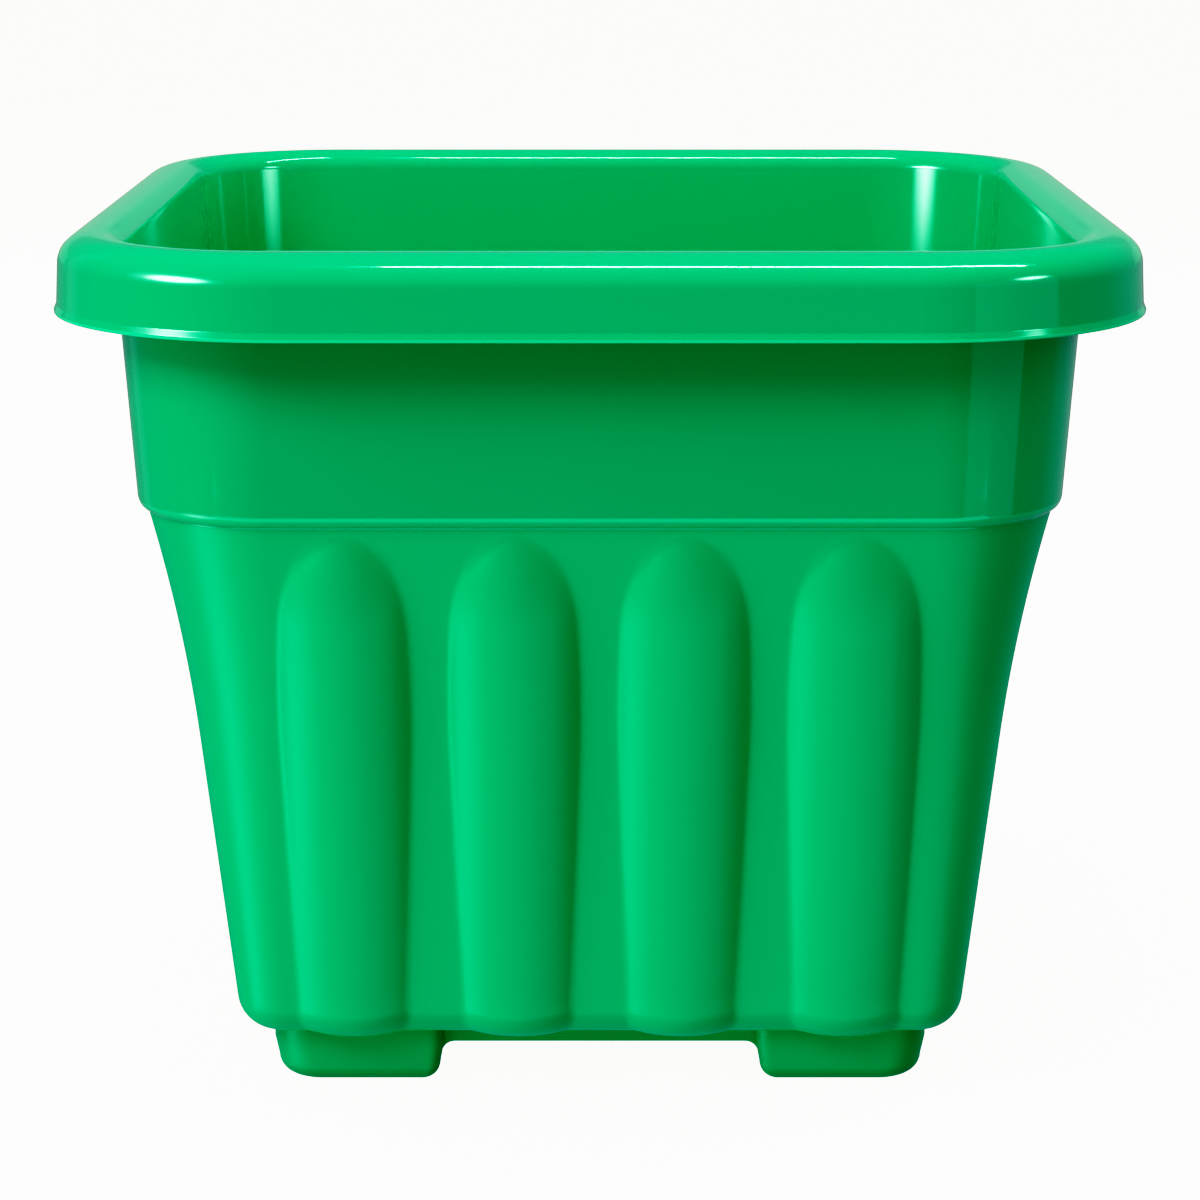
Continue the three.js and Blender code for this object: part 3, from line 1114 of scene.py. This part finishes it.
def rub_marks_group() -> bpy.types.NodeTree:
    """Faint upright rubs from stacking and handling, as a change of roughness."""
    rub_cells, rub_detail, patch_scale, patch_detail = (60.0, 60.0, 7.0), 5.0, 14.0, 2.0
    shade, inputs, outputs = new_group(
        "rub_marks",
        {"Vector": VECTOR, "Roughness": VALUE, "Spread": VALUE},
        {"Roughness": VALUE},
    )
    stretch = shade.node("ShaderNodeMapping")
    stretch.inputs["Scale"].default_value = rub_cells
    shade.link(inputs["Vector"], stretch.inputs["Vector"])
    rubs = shade.noise(stretch.outputs["Vector"], 1.0, rub_detail)
    patches = shade.noise(inputs["Vector"], patch_scale, patch_detail)
    mottle = shade.math("SUBTRACT", shade.math("ADD", rubs, patches), 1.0)
    total = shade.math("ADD", inputs["Roughness"], shade.math("MULTIPLY", mottle, inputs["Spread"]))
    shade.link(total, outputs["Roughness"])
    return shade.tree


GREEN: Colour = (0.0, 0.36, 0.135)
# Darker green of the foot frame: painted shade, as the feet stand in the tub's shadow.
FOOT_SHADE_GREEN: Colour = (0.0, 0.29, 0.1)
# Pale green: where pigment drift tends, and the tint of painted highlights.
PALE_GREEN: Colour = (0.004, 0.62, 0.25)
DEEP_GREEN: Colour = (0.002, 0.2, 0.075)
GREEN_SHEEN: Colour = (0.02, 1.0, 0.42)
PLASTIC_IOR = 1.5


@dataclass(frozen=True)
class MouldedPlastic:
    """A moulded, mass-dyed plastic finish, with its grain in cells a metre and in millimetres."""

    name: str
    colour: Colour
    # Tone of the pigment drift and of painted highlights.
    pale: Colour
    roughness: float
    roughness_spread: float
    grain_scale: float = 700.0
    grain_depth: float = 0.02
    ripple: float = 1.0
    drift: float = 0.05
    coat: float = 0.02
    coat_roughness: float = 0.12
    sheen: Colour = GREEN_SHEEN

    def material(self, groups: dict[str, bpy.types.NodeTree]) -> bpy.types.Material:
        """Makes the finish as a Blender material.

        Args:
            groups: Shared node groups, by name.

        Returns:
            The material.
        """
        material = bpy.data.materials.new(self.name)
        material.use_nodes = True
        shade = Shade(material.node_tree)
        output = shade.node("ShaderNodeOutputMaterial")
        plastic = shade.node("ShaderNodeBsdfPrincipled")
        shade.link(plastic.outputs["BSDF"], output.inputs["Surface"])
        plastic.inputs["IOR"].default_value = PLASTIC_IOR
        plastic.inputs["Specular Tint"].default_value = (*self.sheen, 1.0)
        plastic.inputs["Coat Weight"].default_value = self.coat
        plastic.inputs["Coat Roughness"].default_value = self.coat_roughness
        where = shade.node("ShaderNodeTexCoord").outputs["Object"]
        # Share of the painted highlight on edges, stored on the mesh's points.
        edge = shade.node("ShaderNodeAttribute", attribute_name="painted_highlight").outputs["Fac"]

        def placed(name: str, **values: object) -> bpy.types.Node:
            """Places a shared group with its own values."""
            node = shade.node("ShaderNodeGroup", node_tree=groups[name])
            shade.link(where, node.inputs["Vector"])
            for socket, value in values.items():
                node.inputs[socket.replace("_", " ")].default_value = value
            return node

        tint = placed("tint_drift_and_highlight", Colour=(*self.colour, 1.0), Pale=(*self.pale, 1.0), Drift=self.drift)
        shade.link(edge, tint.inputs["Highlight"])
        shade.link(tint.outputs["Colour"], plastic.inputs["Base Color"])
        rubs = placed("rub_marks", Roughness=self.roughness, Spread=self.roughness_spread)
        shade.link(rubs.outputs["Roughness"], plastic.inputs["Roughness"])
        grain = placed("mould_grain", Grain_Scale=self.grain_scale, Ripple=self.ripple)
        bump = shade.node("ShaderNodeBump")
        bump.inputs["Distance"].default_value = self.grain_depth * MM
        shade.link(grain.outputs["Height"], bump.inputs["Height"])
        shade.link(bump.outputs["Normal"], plastic.inputs["Normal"])
        return material


GLOSS = MouldedPlastic(
    "tub_gloss", GREEN, PALE_GREEN, roughness=0.12, roughness_spread=0.04, grain_scale=900.0,
    grain_depth=0.004, ripple=0.05, drift=0.04, coat=0.5, coat_roughness=0.04)
SATIN = MouldedPlastic("tub_satin", GREEN, PALE_GREEN, roughness=0.33, roughness_spread=0.06)
# Darker copy of the tub's satin for the foot frame, painting the shade under the tub.
FOOT_SHADED_SATIN = MouldedPlastic("foot_shaded_satin", FOOT_SHADE_GREEN, GREEN, roughness=0.4, roughness_spread=0.07)
PLUG_MATT = MouldedPlastic(
    "plug_matt", DEEP_GREEN, GREEN, roughness=0.45, roughness_spread=0.08, grain_scale=1100.0,
    grain_depth=0.03, drift=0.08, coat=0.05, coat_roughness=0.2)


class Reach(Enum):
    """How a softbox shows on the tub: as its mirror image alone, or as spread light alone."""

    GLINT = "glint"
    WASH = "wash"


class Fade(Enum):
    """How a softbox grows dimmer across its face."""

    EVEN = "even"
    DOWN = "down"
    ROUND = "round"


FADE_POWER = {Fade.DOWN: 1.5, Fade.ROUND: 2.0}
FADE_GAIN = {Fade.DOWN: 2.5, Fade.ROUND: 3.8}


@dataclass(frozen=True)
class Softbox:
    """A studio light that faces the tub, in metres, degrees and watts."""

    name: str
    azimuth: float
    elevation: float
    distance: float
    width: float
    height: float
    power: float
    fade: Fade = Fade.EVEN
    reach: Reach = Reach.WASH
    aim: Point = (0.0, 0.0, 0.2)
    spread: float = 180.0
    colour: Colour = (1.0, 1.0, 1.0)

    def build(self) -> bpy.types.Object:
        """Makes the light. Azimuth 0 is the camera's side, and right is positive."""
        data = bpy.data.lights.new(self.name, "AREA")
        data.shape = "RECTANGLE"
        data.size, data.size_y = self.width, self.height
        data.energy = self.power
        data.color = self.colour
        data.spread = math.radians(self.spread)
        if self.fade is not Fade.EVEN:
            self.graded(data)
        light = linked(self.name, data)
        around, up = math.radians(self.azimuth), math.radians(self.elevation)
        away = Vector((math.sin(around) * math.cos(up), -math.cos(around) * math.cos(up), math.sin(up)))
        light.location = Vector(self.aim) + away * self.distance
        light.rotation_euler = away.to_track_quat("Z", "Y").to_euler()
        light.visible_camera = False
        light.visible_diffuse = self.reach is Reach.WASH
        light.visible_glossy = self.reach is Reach.GLINT
        return light

    def graded(self, data: bpy.types.Light) -> None:
        """Lets the light grow dimmer towards its foot, or all round towards its edge.

        Args:
            data: The light.
        """
        data.use_nodes = True
        shade = Shade(data.node_tree)
        emission, output = shade.node("ShaderNodeEmission"), shade.node("ShaderNodeOutputLight")
        face = shade.node("ShaderNodeSeparateXYZ")
        shade.link(shade.node("ShaderNodeNewGeometry").outputs["Parametric"], face.inputs[0])
        share = face.outputs["Y"]
        if self.fade is Fade.ROUND:
            middle = 0.5
            offsets = [shade.math("SUBTRACT", face.outputs[axis], middle) for axis in "XY"]
            away = shade.math("ADD", *(shade.math("MULTIPLY", offset, offset) for offset in offsets))
            inside = shade.math("SUBTRACT", 1.0, shade.math("MULTIPLY", away, 1 / middle**2))
            share = shade.math("MAXIMUM", inside, 0.0)
        faded = shade.math("POWER", share, FADE_POWER[self.fade])
        shade.link(shade.math("MULTIPLY", faded, FADE_GAIN[self.fade]), emission.inputs["Strength"])
        shade.link(emission.outputs[0], output.inputs["Surface"])


GLINT = Reach.GLINT
BACKDROP_GREEN: Colour = (0.35, 1.0, 0.6)
STRIP_AIM: Point = (0.4, -0.2, 0.32)
RIGHT_CORNER: Point = (0.146, 0.165, 0.305)
LEFT_CORNER: Point = (-0.146, 0.165, 0.305)
GLINT_SPREAD = 25.0

LIGHTS = (
    Softbox("key", -47.0, 38.0, 2.5, 1.7, 0.9, 24.6),
    Softbox("left_low", -65.0, -28.0, 2.5, 1.6, 1.0, 17.2),
    Softbox("front_low", 0.0, -15.0, 2.5, 1.8, 0.9, 2.0),
    Softbox("front_top", 8.0, 40.0, 2.5, 1.8, 0.9, 4.6),
    Softbox("overhead", 0.0, 86.0, 1.8, 1.8, 1.0, 19.0),
    Softbox("back_left", -148.0, 18.0, 2.5, 1.8, 1.2, 9.0),
    Softbox("back_right", 133.0, 24.0, 2.5, 1.8, 1.2, 20.0),
    Softbox("back_low", 180.0, -25.0, 2.5, 1.8, 1.2, 3.0),
    Softbox("right_side", 95.0, 15.0, 2.5, 1.2, 0.9, 3.9),
    Softbox("backdrop", 180.0, 7.0, 2.5, 4.5, 0.6, 1.2, reach=GLINT, colour=BACKDROP_GREEN),
    Softbox("floor_sheen", 0.0, -36.0, 2.5, 5.0, 1.2, 18.8, reach=GLINT),
    Softbox("left_sheen", -66.0, -28.0, 2.5, 1.8, 1.2, 6.5, Fade.ROUND, GLINT),
    Softbox("left_core", -54.0, 20.0, 1.9, 1.2, 0.7, 24.0, Fade.ROUND, GLINT),
    Softbox("left_halo", -56.0, 20.0, 1.9, 1.9, 1.2, 9.0, Fade.ROUND, GLINT),
    Softbox("right_panel", 50.0, -6.0, 2.0, 1.46, 1.7, 2.75, reach=GLINT),
    Softbox("right_core", 58.0, 22.0, 1.9, 0.7, 0.4, 4.5, Fade.ROUND, GLINT),
    Softbox("strip", 0.0, 90.0, 1.14, 1.1, 0.07, 9.0, Fade.EVEN, GLINT, STRIP_AIM),
    Softbox("left_back", -123.0, 0.0, 2.0, 0.45, 3.0, 0.4, reach=GLINT),
    Softbox("right_back", 130.0, 0.0, 2.0, 1.6, 3.0, 0.6, reach=GLINT),
    Softbox("glint_right", -52.5, 0.0, 0.26, 0.115, 0.08, 0.006,
            Fade.DOWN, GLINT, RIGHT_CORNER, GLINT_SPREAD),
    Softbox("glint_left", 57.0, 0.0, 0.26, 0.07, 0.08, 0.0015,
            Fade.DOWN, GLINT, LEFT_CORNER, GLINT_SPREAD),
)


class Channel(Enum):
    """Curves of the view's colour mapping."""

    RED = 0
    BLUE = 2
    ALL = 3


GRADED_LIGHTS = (0.02, 0.05, 0.1, 0.16, 0.24, 0.34, 0.48, 0.7)
TOES = {
    Channel.RED: ((0.02, 0.001), (0.06, 0.03), (0.15, 0.13)),
    Channel.BLUE: ((0.02, 0.0065), (0.04, 0.029), (0.055, 0.052), (0.07, 0.075),
                   (0.09, 0.1), (0.13, 0.137), (0.2, 0.195), (0.4, 0.36)),
}


@dataclass
class Studio:
    """Camera, floor, lights and surround, in metres and degrees."""

    camera_place: Point = (0.0, -1.3145, 0.4715)
    camera_pitch: float = 13.252
    lens: float = 98.757
    sensor: float = 36.0
    floor_half: float = 40.0
    floor_glow: float = 0.8
    floor_matt: float = 0.1
    surround: float = 0.21
    surround_sheen: float = 0.16
    grade_middle: float = 0.3
    grade_power: float = 2.0

    def build_camera(self) -> None:
        """Stands the camera where the photograph was taken from."""
        data = bpy.data.cameras.new("camera")
        data.sensor_width = self.sensor
        data.lens = self.lens
        camera = linked("camera", data)
        camera.location = self.camera_place
        camera.rotation_euler = (QUARTER - math.radians(self.camera_pitch), 0.0, 0.0)
        bpy.context.scene.camera = camera

    def build_floor(self) -> None:
        """Lays a plain pale floor, which throws no light back up at the tub."""
        half = self.floor_half
        mesh = bpy.data.meshes.new("floor")
        turns = ((-1, -1), (1, -1), (1, 1), (-1, 1))
        mesh.from_pydata([(x * half, y * half, 0.0) for x, y in turns], [], [range(len(turns))])
        floor = linked("floor", mesh)
        floor.visible_diffuse = floor.visible_glossy = floor.visible_shadow = False
        material = bpy.data.materials.new("pale_floor")
        material.use_nodes = True
        shade = Shade(material.node_tree)
        glow = shade.node("ShaderNodeEmission")
        glow.inputs["Strength"].default_value = self.floor_glow
        matt = shade.node("ShaderNodeBsdfDiffuse")
        matt.inputs["Color"].default_value = (self.floor_matt, self.floor_matt, self.floor_matt, 1.0)
        pale = shade.node("ShaderNodeAddShader")
        shade.link(glow.outputs[0], pale.inputs[0])
        shade.link(matt.outputs[0], pale.inputs[1])
        shade.link(pale.outputs[0], shade.node("ShaderNodeOutputMaterial").inputs["Surface"])
        mesh.materials.append(material)

    def build_surround(self) -> None:
        """Sets a dim even surround, dimmer in mirror images, that the camera sees as white."""
        world = bpy.data.worlds.new("surround")
        world.use_nodes = True
        bpy.context.scene.world = world
        shade = Shade(world.node_tree)
        dim, white = shade.node("ShaderNodeBackground"), shade.node("ShaderNodeBackground")
        rays = shade.node("ShaderNodeLightPath")
        drop = shade.math("MULTIPLY", rays.outputs["Is Glossy Ray"], self.surround - self.surround_sheen)
        shade.link(shade.math("SUBTRACT", self.surround, drop), dim.inputs["Strength"])
        for background in (dim, white):
            background.inputs["Color"].default_value = (1.0, 1.0, 1.0, 1.0)
        choice = shade.node("ShaderNodeMixShader")
        shade.link(rays.outputs["Is Camera Ray"], choice.inputs[0])
        shade.link(dim.outputs[0], choice.inputs[1])
        shade.link(white.outputs[0], choice.inputs[2])
        shade.link(choice.outputs[0], shade.node("ShaderNodeOutputWorld").inputs["Surface"])

    def build_grade(self) -> None:
        """Grades the picture with a soft shoulder and a deep toe, as the photograph is printed."""
        view = bpy.context.scene.view_settings
        view.view_transform = "Standard"
        view.use_curve_mapping = True
        curves = view.curve_mapping.curves
        half = self.grade_middle**self.grade_power
        for light in GRADED_LIGHTS:
            raised = light**self.grade_power
            curves[Channel.ALL.value].points.new(light, raised * (1 + half) / (raised + half))
        for channel, toe in TOES.items():
            for light, printed in toe:
                curves[channel.value].points.new(light, printed)
        view.curve_mapping.update()

    def build(self) -> None:
        """Sets up the whole studio."""
        self.build_camera()
        self.build_floor()
        self.build_surround()
        for light in LIGHTS:
            light.build()
        self.build_grade()


def corners(box: tuple[Vector, Vector]) -> list[list[float]]:
    """Plain lists of a box's lowest and highest corner."""
    return [list(corner) for corner in box]


def main() -> None:
    """Builds the studio and each sub-assembly."""
    logging.basicConfig(level=logging.INFO, format="%(name)s: %(message)s")
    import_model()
    Studio().build()
    groups = {tree.name: tree for tree in (mould_grain_group(), tint_drift_and_highlight_group(), rub_marks_group())}
    gloss, satin = GLOSS.material(groups), SATIN.material(groups)
    foot_shaded_satin, matt = FOOT_SHADED_SATIN.material(groups), PLUG_MATT.material(groups)

    tub = TubMoulding.from_frame()
    foot_frame = FootFrame.from_frame(tub)
    tub_piece = tub.build(foot_frame.places())
    tub.dress(tub_piece, gloss, satin)
    foot_piece = foot_frame.build()
    foot_frame.dress(foot_piece, foot_shaded_satin)
    pieces = [tub_piece, foot_piece]
    for side in ("front", "back", "left", "right"):
        plug = DrainPlug.from_frame(side, tub)
        pieces.append(plug.build())
        plug.dress(pieces[-1], matt)
    for piece in pieces:
        LOG.info("%s: %d faces", piece.name, len(piece.data.polygons))


if __name__ == "__main__":
    main()
